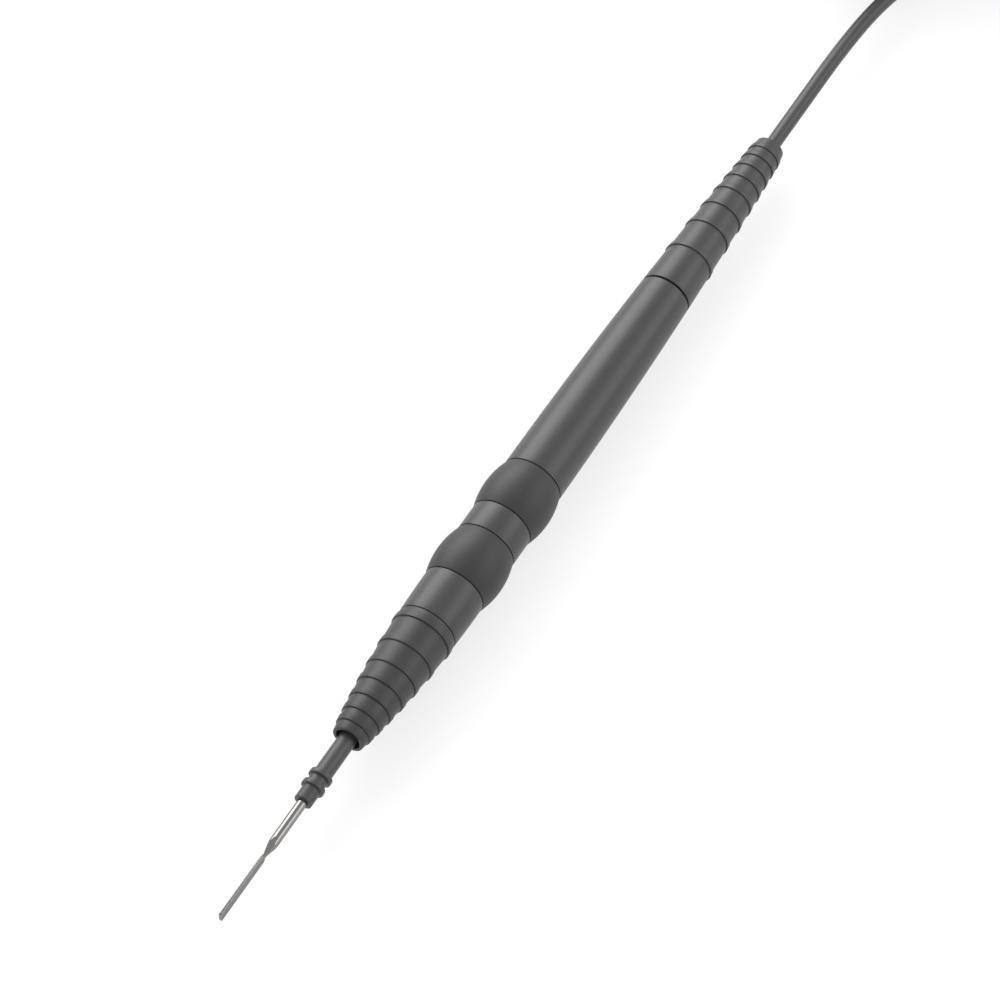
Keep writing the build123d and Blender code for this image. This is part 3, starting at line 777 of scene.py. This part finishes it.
def plug_half(name, side, replaced):
    """One half of the plug: side is 1 for the upper half and -1 for the lower."""
    length, width, height = PLUG_SIZE
    mesh = bmesh.new()
    bmesh.ops.create_cube(mesh, size=1)
    bmesh.ops.scale(mesh, vec=(length, width, height / 2 - HALF_GAP), verts=mesh.verts)
    upright = [e for e in mesh.edges if abs(e.verts[0].co.z - e.verts[1].co.z) > 1]
    bmesh.ops.bevel(
        mesh, geom=upright, offset=PLUG_CORNER, segments=7, profile=0.5, affect="EDGES", material=-1
    )
    for towards, offset, segments in ((-side, PARTING_RIM, 2), (side, PLUG_RIM, 5)):
        rim = [e for e in mesh.edges if all(v.co.z * towards > height / 4 - 0.1 for v in e.verts)]
        bmesh.ops.bevel(
            mesh, geom=rim, offset=offset, segments=segments, profile=0.5, affect="EDGES", material=-1
        )
    broad = max(mesh.faces, key=lambda f: (f.normal.z * side > 0.99, f.calc_area()))
    bmesh.ops.inset_region(mesh, faces=[broad], thickness=PANEL_FRAME, use_even_offset=True)
    bmesh.ops.inset_region(
        mesh, faces=[broad], thickness=PANEL_SLOPE, depth=-PANEL_DEPTH, use_even_offset=True
    )
    middle = (
        PLUG_PLACE[0] + PLUG_BOOT + length / 2,
        PLUG_PLACE[1],
        PLUG_PLACE[2] + side * (height / 4 + HALF_GAP / 2),
    )
    bmesh.ops.translate(mesh, vec=middle, verts=mesh.verts)
    piece = finish_mesh(mesh, name, "handpiece")
    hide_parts(replaced)
    return piece


plug_upper = plug_half("plug_upper_half", 1, "plug_cover")
plug_lower = plug_half("plug_lower_half", -1, "plug_base")
print("half of the plug", [round(v / MM, 1) for v in plug_upper.dimensions])

# %% [markdown]
# ### Boot and pins
#
# A short rubber boot keeps the cord from kinking where it enters the plug, and grooves
# round it let it bend. The pins are plated rods with a rounded tip and a thinner shank
# that the halves hold. Bevelled cylinders would do for the pins, but the lathe is there
# already, and it gives boot and pins in the same way as the pieces of the handpiece.

# %% Plug boot
PLUG_BOOT_R = (2.8, 4.2)
PLUG_BOOT_BORE_R = 1.87
PLUG_BOOT_END = PLUG_BOOT - 0.02
PLUG_BOOT_GROOVE = 0.45
boot_outline = [(0.0, PLUG_BOOT_BORE_R), (0.0, 2.75, 0.2)]
for x in (2.0, 4.4, 6.8, 9.2):
    radius = PLUG_BOOT_R[0] + (PLUG_BOOT_R[1] - PLUG_BOOT_R[0]) * x / PLUG_BOOT
    boot_outline += [
        (x, radius, 0.15),
        (x + 0.15, radius - PLUG_BOOT_GROOVE, 0.1),
        (x + 0.75, radius - PLUG_BOOT_GROOVE + 0.03, 0.1),
        (x + 0.9, radius + 0.1, 0.15),
    ]
boot_outline += [(PLUG_BOOT_END, PLUG_BOOT_R[1], 0.1), (PLUG_BOOT_END, PLUG_BOOT_BORE_R)]
plug_boot = turned(
    "plug_boot_moulding", "handpiece", boot_outline, "plug_boot", place=PLUG_PLACE, facets=64
)

# %% Pins
PIN_R = 2.0
PIN_SHANK_R = 1.8
PIN_FRONT = PLUG_BOOT + PLUG_SIZE[0]
PIN_ROOT = PIN_FRONT - 9.0
PIN_SHOULDER = PIN_FRONT + 0.5
PIN_TIP = PIN_FRONT + 17.0
# The pins stand 12.7 mm and 19.05 mm apart, so the plug fits its socket one way only.
PIN_PLACES = {"active_pin": -15.875, "cut_pin": -3.175, "coag_pin": 15.875}
pins = []
for pin_node, y in PIN_PLACES.items():
    pins.append(
        turned(
            f"turned_{pin_node}",
            "handpiece",
            [
                (PIN_ROOT, 0),
                (PIN_TIP, 0),
                (PIN_TIP, PIN_R, 1.1),
                (PIN_SHOULDER, PIN_R, 0.1),
                (PIN_SHOULDER, PIN_SHANK_R),
                (PIN_ROOT, PIN_SHANK_R),
            ],
            pin_node,
            place=(PLUG_PLACE[0], PLUG_PLACE[1] + y, PLUG_PLACE[2]),
            facets=48,
        )
    )

# %% [markdown]
# ### A cord for the simulation
#
# In the picture the cord lies still, but a robot may pick the pencil up, and then the cord
# hangs from it. Its shape could be baked as one stiff piece, or it could be declared as a
# limp cord and laid anew in any room. For that, its true length and thickness are measured
# above, and the place where it leaves the boot and the plug that goes with it are drawn.

# %% [markdown]
# ## Finishes
#
# Nearly all of the pencil is one dark grey, so the finishes differ in gloss and grain, not
# in colour. Three small functions do the groundwork: one turns an sRGB hex colour to linear
# light, one adds a node with its settings and links, and one starts an empty material.

# %% Colours and nodes


def linear(hex_colour):
    """An sRGB hex colour as the linear RGBA that shaders take."""
    channels = [int(hex_colour[i : i + 2], 16) / 255 for i in (1, 3, 5)]
    values = [c / 12.92 if c <= 0.04045 else ((c + 0.055) / 1.055) ** 2.4 for c in channels]
    return (*values, 1.0)


def node(tree, kind, settings=None, **inputs):
    """Adds a node, sets its properties, and links or sets its inputs by name."""
    made = tree.nodes.new(kind)
    for key, value in (settings or {}).items():
        setattr(made, key, value)
    for key, value in inputs.items():
        socket = made.inputs[key.replace("_", " ")]
        if isinstance(value, bpy.types.NodeSocket):
            tree.links.new(value, socket)
        else:
            socket.default_value = value
    return made


def blank_material(name):
    """A material with an empty node tree and its output node."""
    material = bpy.data.materials.new(name)
    material.use_nodes = True
    material.node_tree.nodes.clear()
    output = material.node_tree.nodes.new("ShaderNodeOutputMaterial")
    return material, material.node_tree, output


print("mid grey in linear light is", round(linear("#808080")[0], 3))

# %% [markdown]
# ### Moulded plastic and rubber
#
# A steel mould gives plastic the skin of its own surface. The shells come from a
# spark-eroded mould: an even, very fine grain that softens the highlight. Real grain is
# about 0.05 mm, too fine to show here, so it is drawn at 0.3 mm and more. A flat colour
# would look like paint, so a faint cloud of a lighter grey lies in it, as wide as the
# patches that handling leaves.

# %% Moulded finish
GLOSS_SPREAD = 0.05
PLASTIC_IOR = 1.5


def moulded(name, dark, light, roughness, grain_mm, depth_mm, cloud_mm):
    """A moulded finish: a slightly clouded colour, an uneven gloss and a fine grain."""
    material, tree, output = blank_material(name)
    place = node(tree, "ShaderNodeTexCoord").outputs["Object"]
    cloud = node(tree, "ShaderNodeTexNoise", Vector=place, Scale=1000 / cloud_mm, Detail=3.0)
    grain = node(tree, "ShaderNodeTexNoise", Vector=place, Scale=1000 / grain_mm, Detail=2.0)
    colour = node(
        tree,
        "ShaderNodeMix",
        {"data_type": "RGBA"},
        Factor=cloud.outputs["Fac"],
        A=linear(dark),
        B=linear(light),
    )
    gloss = node(
        tree,
        "ShaderNodeMapRange",
        Value=grain.outputs["Fac"],
        To_Min=roughness - GLOSS_SPREAD,
        To_Max=roughness + GLOSS_SPREAD,
    )
    bump = node(
        tree,
        "ShaderNodeBump",
        Strength=1.0,
        Distance=depth_mm * MM,
        Height=grain.outputs["Fac"],
    )
    shader = node(
        tree,
        "ShaderNodeBsdfPrincipled",
        Base_Color=colour.outputs["Result"],
        Roughness=gloss.outputs["Result"],
        Normal=bump.outputs["Normal"],
        IOR=PLASTIC_IOR,
    )
    tree.links.new(shader.outputs["BSDF"], output.inputs["Surface"])
    return material


print("a moulded skin's roughness varies by", GLOSS_SPREAD, "either way")

# %% Plastics and rubbers outside
# Satin ABS from a spark-eroded mould: a broad, soft line of light along the shells.
shell_plastic = moulded("satin_shell_abs", "#434343", "#474747", 0.38, 0.35, 0.008, 9)
# Matte ABS from a coarser mould: darker, so that the rings stand out between the shells.
ring_plastic = moulded("matte_ring_abs", "#363636", "#3a3a3a", 0.5, 0.35, 0.008, 7)
# Thermoplastic rubber: the light sinks in a little, and the ribs' steps stay dark.
nose_rubber = moulded("nose_thermoplastic_rubber", "#393939", "#3d3d3d", 0.44, 0.4, 0.006, 5)
# The same rubber from a smoother mould: the tail's slopes shine nearly as the shell does.
tail_rubber = moulded("tail_thermoplastic_rubber", "#444444", "#484848", 0.4, 0.4, 0.006, 5)
# Polyamide moulded on the rod: a little lighter, with a finer skin.
sleeve_plastic = moulded("moulded_sleeve_polyamide", "#464646", "#4a4a4a", 0.38, 0.3, 0.004, 3)
# Extruded vinyl: smooth along the cord, with an even sheen.
cord_vinyl = moulded("extruded_cord_vinyl", "#444444", "#484848", 0.38, 0.5, 0.006, 12)
# ABS from a plain sanded mould: duller and a bit blotchy on the plug's broad sides.
plug_plastic = moulded("sanded_plug_abs", "#454545", "#494949", 0.46, 0.4, 0.01, 9)
print("the shells are", shell_plastic.name, "and the rings", ring_plastic.name)

# %% Plastics and rubbers inside
# Black nylon: a dark ground behind every seam, so that the seams read as deep lines.
black_nylon = moulded("moulded_black_nylon", "#2a2a2a", "#303030", 0.42, 0.5, 0.006, 8)
# Undyed nylon: the warm, milky white of inner parts that nobody sees.
inner_nylon = moulded("moulded_undyed_nylon", "#d9d6cd", "#e2dfd6", 0.45, 0.5, 0.006, 8)
# Silicone: a cool, greyish white with a soft shine.
silicone = moulded("moulded_silicone", "#b9bcbd", "#c3c6c7", 0.35, 0.6, 0.004, 3)
# Dyed vinyl insulation: a plain colour for each wire, to tell them apart.
red_wire = moulded("red_wire_vinyl", "#9c2420", "#a82a25", 0.4, 0.3, 0.004, 4)
white_wire = moulded("white_wire_vinyl", "#d8d8d4", "#e0e0dc", 0.4, 0.3, 0.004, 4)
yellow_wire = moulded("yellow_wire_vinyl", "#c79a1c", "#d2a422", 0.4, 0.3, 0.004, 4)
blue_wire = moulded("blue_wire_vinyl", "#214f8f", "#27589b", 0.4, 0.3, 0.004, 4)
print("the core is", black_nylon.name, "and the nut", inner_nylon.name)

# %% [markdown]
# ### Metals
#
# The electrode is stainless rod, drawn through a die and then polished. Drawing leaves
# hairlines that run along the rod. The shader's own anisotropy could stretch the highlight,
# but it draws no lines, so the noise behind colour, gloss and relief is stretched a lot
# lengthwise instead. Real hairlines are far below 0.1 mm and would not show, so they are
# drawn 0.3 mm wide. Steel reflects a little less at a slant than a mirror would, which
# the specular tint tells.

# %% Metal finish
ALONG_STRETCH = (0.04, 1, 1)
METAL_GLOSS_SPREAD = 0.03


def drawn_metal(name, dull, bright, rim, roughness, line_mm, depth_mm):
    """A metal with fine lines along X: its colour, gloss and relief follow one noise."""
    material, tree, output = blank_material(name)
    place = node(tree, "ShaderNodeTexCoord").outputs["Object"]
    squeezed = node(tree, "ShaderNodeMapping", Vector=place, Scale=ALONG_STRETCH)
    lines = node(
        tree,
        "ShaderNodeTexNoise",
        Vector=squeezed.outputs["Vector"],
        Scale=1000 / line_mm,
        Detail=2.0,
    )
    colour = node(
        tree,
        "ShaderNodeMix",
        {"data_type": "RGBA"},
        Factor=lines.outputs["Fac"],
        A=linear(dull),
        B=linear(bright),
    )
    gloss = node(
        tree,
        "ShaderNodeMapRange",
        Value=lines.outputs["Fac"],
        To_Min=roughness - METAL_GLOSS_SPREAD,
        To_Max=roughness + METAL_GLOSS_SPREAD,
    )
    bump = node(
        tree,
        "ShaderNodeBump",
        Strength=1.0,
        Distance=depth_mm * MM,
        Height=lines.outputs["Fac"],
    )
    shader = node(
        tree,
        "ShaderNodeBsdfPrincipled",
        Base_Color=colour.outputs["Result"],
        Metallic=1.0,
        Specular_Tint=linear(rim),
        Roughness=gloss.outputs["Result"],
        Normal=bump.outputs["Normal"],
    )
    tree.links.new(shader.outputs["BSDF"], output.inputs["Surface"])
    return material


print("hairlines are", round(ALONG_STRETCH[1] / ALONG_STRETCH[0]), "times as long as wide")

# %% Steel, nickel and brass
# Polished stainless steel: bright and dark bands along the rod, a mid grey on the flats.
blade_steel = drawn_metal(
    "polished_stainless_steel", "#918f8d", "#969492", "#c2c2c2", 0.2, 0.3, 0.00002
)
# Nickel-plated pins: lighter and warmer than steel, with clear reflections.
pin_nickel = drawn_metal("plated_nickel", "#c4c1b8", "#d2cfc6", "#f0f0f0", 0.18, 0.3, 0.0001)
# Bare turned brass: a dull gold for the contacts inside.
contact_brass = drawn_metal("turned_brass", "#b99a58", "#c8a964", "#f0f0f0", 0.28, 0.3, 0.001)
# Rolled steel of the clamp: a plain grey, duller than the blade.
crimp_steel = drawn_metal("rolled_steel", "#a9a9a8", "#b8b8b7", "#e0e0e0", 0.32, 0.3, 0.001)
print("the blade is", blade_steel.name, "and the pins", pin_nickel.name)

# %% [markdown]
# ### Board and printed strip
#
# Two patterned finishes are inside: a glass-cloth laminate for the board, whose weave
# shows through the green, and a film with narrow conductors that runs under the domes. A
# picture of each could be laid on, but it would need a map of every face. A wave texture
# needs none: it draws even bands, and two of them multiplied make the weave.

# %% Patterned finishes
# The wave texture turns its phase by 20 radians in each metre at a scale of 1.
WAVE_PHASE = 20


def striped(name, ground, stripe, pitch_mm, roughness, crossed):
    """A finish with fine straight bands, or with two crossing sets of them."""
    material, tree, output = blank_material(name)
    place = node(tree, "ShaderNodeTexCoord").outputs["Object"]
    scale = 2 * pi / WAVE_PHASE * 1000 / pitch_mm
    bands = node(tree, "ShaderNodeTexWave", {"bands_direction": "Y"}, Vector=place, Scale=scale)
    pattern = bands.outputs["Fac"]
    if crossed:
        across = node(tree, "ShaderNodeTexWave", {"bands_direction": "X"}, Vector=place, Scale=scale)
        woven = node(tree, "ShaderNodeMath", {"operation": "MULTIPLY"})
        tree.links.new(pattern, woven.inputs[0])
        tree.links.new(across.outputs["Fac"], woven.inputs[1])
        pattern = woven.outputs["Value"]
    colour = node(
        tree,
        "ShaderNodeMix",
        {"data_type": "RGBA"},
        Factor=pattern,
        A=linear(ground),
        B=linear(stripe),
    )
    bump = node(tree, "ShaderNodeBump", Strength=0.5, Distance=0.01 * MM, Height=pattern)
    shader = node(
        tree,
        "ShaderNodeBsdfPrincipled",
        Base_Color=colour.outputs["Result"],
        Roughness=roughness,
        Normal=bump.outputs["Normal"],
        IOR=PLASTIC_IOR,
    )
    tree.links.new(shader.outputs["BSDF"], output.inputs["Surface"])
    return material


# Glass cloth in green epoxy, with its threads 0.6 mm apart: a fine check under the lacquer.
board_green = striped("glass_epoxy_laminate", "#1d4a2c", "#2a6139", 0.6, 0.35, True)
# Amber polyimide film, with etched conductors 0.9 mm apart: thin darker lines.
flex_amber = striped("etched_polyimide_film", "#a8701c", "#7c4a17", 0.9, 0.3, False)
print("the board is", board_green.name, "and the strip", flex_amber.name)

# %% [markdown]
# ## Dressing the pieces
#
# On the real pencil a moulding is one material throughout, so each piece here gets one
# finish. The parts inside keep their CAD meshes.

# %% Dressing the outside
DRESS = {
    shell_plastic: ("shell_plastic", [front_shell, collar_shell, rear_shell]),
    ring_plastic: ("ring_plastic", [front_ring, rear_ring]),
    nose_rubber: ("boot_rubber", [nose_boot]),
    tail_rubber: ("boot_rubber", [tail_boot]),
    sleeve_plastic: ("sleeve_plastic", [sleeve]),
    blade_steel: ("blade_steel", [blade]),
    cord_vinyl: ("cord_jacket", [cord]),
    plug_plastic: ("plug_plastic", [plug_upper, plug_lower, plug_boot]),
    pin_nickel: ("pin_metal", pins),
}
for material, (slot_name, pieces) in DRESS.items():
    for piece in pieces:
        piece.data.materials.append(material)
print(sum(len(pieces) for _, pieces in DRESS.values()), "pieces dressed")

# %% Dressing the inside
INSIDE = {
    inner_nylon: ["collet_carrier", "core_nut", "front_press_sleeve", "rear_press_sleeve"],
    black_nylon: ["core_tube", "front_guide_disc", "rear_guide_disc"],
    silicone: ["nose_seal", "front_dome_band", "rear_dome_band"],
    contact_brass: ["contact_collet", "contact_washer", "contact_stud"],
    crimp_steel: ["cord_clamp"],
    flex_amber: ["contact_flex"],
    board_green: ["circuit_board"],
    red_wire: ["active_wire"],
    white_wire: ["common_wire"],
    yellow_wire: ["cut_wire"],
    blue_wire: ["coag_wire"],
    cord_vinyl: ["cord_in_boot"],
}
for material, names in INSIDE.items():
    for name in names:
        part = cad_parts[name]
        part.data.materials.clear()
        part.data.materials.append(material)
print(sum(len(names) for names in INSIDE.values()), "parts dressed inside")

# %% [markdown]
# ## Table
#
# The object lies on a white table. White paint under bright lamps would do it too, but it
# would throw a lot of light up into the grey plastic. So the table shows white only to the
# camera and in reflections, and is a mid grey for all other light. Part of its white still
# comes from the lamps, which keeps a soft shadow under the handpiece.

# %% The table's shape
TABLE_R = 4.0
floor_data = bpy.data.meshes.new("table")
floor_mesh = bmesh.new()
bmesh.ops.create_circle(floor_mesh, cap_ends=True, radius=TABLE_R, segments=96)
floor_mesh.to_mesh(floor_data)
floor_mesh.free()
floor = bpy.data.objects.new("table", floor_data)
bpy.context.scene.collection.objects.link(floor)
print("table", [round(v, 1) for v in floor.dimensions], "m")

# %% The table's white
OWN_WHITE = 0.72
LIT_WHITE = 0.34
BOUNCE_GREY = 0.3
floor_paint, tree, output = blank_material("white_table")
paths = node(tree, "ShaderNodeLightPath").outputs
seen = paths["Is Camera Ray"]
for kind in ("Is Glossy Ray", "Is Transmission Ray"):
    either = node(tree, "ShaderNodeMath", {"operation": "MAXIMUM"})
    tree.links.new(seen, either.inputs[0])
    tree.links.new(paths[kind], either.inputs[1])
    seen = either.outputs["Value"]
glow = node(tree, "ShaderNodeEmission", Color=(1, 1, 1, 1), Strength=OWN_WHITE)
pale = node(tree, "ShaderNodeBsdfDiffuse", Color=(LIT_WHITE, LIT_WHITE, LIT_WHITE, 1))
shown = node(tree, "ShaderNodeAddShader")
tree.links.new(glow.outputs["Emission"], shown.inputs[0])
tree.links.new(pale.outputs["BSDF"], shown.inputs[1])
grey = node(tree, "ShaderNodeBsdfDiffuse", Color=(BOUNCE_GREY, BOUNCE_GREY, BOUNCE_GREY, 1))
both = node(tree, "ShaderNodeMixShader", Fac=seen)
tree.links.new(grey.outputs["BSDF"], both.inputs[1])
tree.links.new(shown.outputs["Shader"], both.inputs[2])
tree.links.new(both.outputs["Shader"], output.inputs["Surface"])
floor_data.materials.append(floor_paint)
print("the table takes", len(tree.nodes), "nodes")

# %% [markdown]
# ## Light
#
# A turned piece shows a lamp as a line that runs along it. A wide softbox behind the
# handpiece draws the main line, a dimmer one in front draws the faint second line on the
# near side, and an even room fills the rest. A sun would draw hard, thin lines instead.

# %% Lights
ROOM_STRENGTH = 0.6
world = bpy.data.worlds.new("studio")
world.use_nodes = True
world.node_tree.nodes["Background"].inputs["Color"].default_value = (1, 1, 1, 1)
world.node_tree.nodes["Background"].inputs["Strength"].default_value = ROOM_STRENGTH
bpy.context.scene.world = world


def softbox(name, direction, distance, size, radiance):
    """A rectangular soft light that faces the handpiece. Its power follows its area."""
    lamp = bpy.data.lights.new(name, "AREA")
    lamp.shape = "RECTANGLE"
    lamp.size, lamp.size_y = size
    lamp.energy = radiance * pi * size[0] * size[1]
    holder = bpy.data.objects.new(name, lamp)
    way = Vector(direction).normalized()
    holder.location = way * distance
    holder.rotation_euler = way.to_track_quat("Z", "Y").to_euler()
    bpy.context.scene.collection.objects.link(holder)
    print(f"{name}: {lamp.energy:.1f} W")


softbox("key_behind", (0.505, 0.66, 0.555), distance=1.3, size=(1.3, 0.9), radiance=3.8)
softbox("fill_front", (0.505, -0.72, 0.47), distance=1.4, size=(1.2, 0.8), radiance=1.6)

# %% [markdown]
# ## Camera
#
# A long lens about a metre away looks down on the pencil, which lies slantwise across the
# picture. A constraint could aim it at the pencil's middle, but it leaves the roll open.
# Here the camera's own three axes are given, squared up with cross products, and the aim
# is moved along them, so that the view can be set to a tenth of a millimetre.

# %% Camera
RIGHT = Vector((0.50329, -0.86409, 0.00116)).normalized()
UP = Vector((0.70141, 0.40931, 0.5835))
BACK = RIGHT.cross(UP).normalized()
UP = BACK.cross(RIGHT)
NEAR_MIDDLE = Vector((0.05, 0.0, 8.555))
CAMERA_DISTANCE = 992.6
LENS = 158.4
AIM_LEFT = 2.796
AIM_UP = 1.972
aim = NEAR_MIDDLE - AIM_LEFT * RIGHT + AIM_UP * UP
camera_data = bpy.data.cameras.new("camera")
camera_data.sensor_width = 36
camera_data.lens = LENS
camera_data.clip_end = 20
camera = bpy.data.objects.new("camera", camera_data)
camera.location = (aim + CAMERA_DISTANCE * BACK) * MM
camera.rotation_euler = Matrix((RIGHT, UP, BACK)).transposed().to_euler()
bpy.context.scene.collection.objects.link(camera)
bpy.context.scene.camera = camera
bpy.context.scene.view_settings.view_transform = "Standard"
print("camera at", [round(v, 3) for v in camera.location], "m")
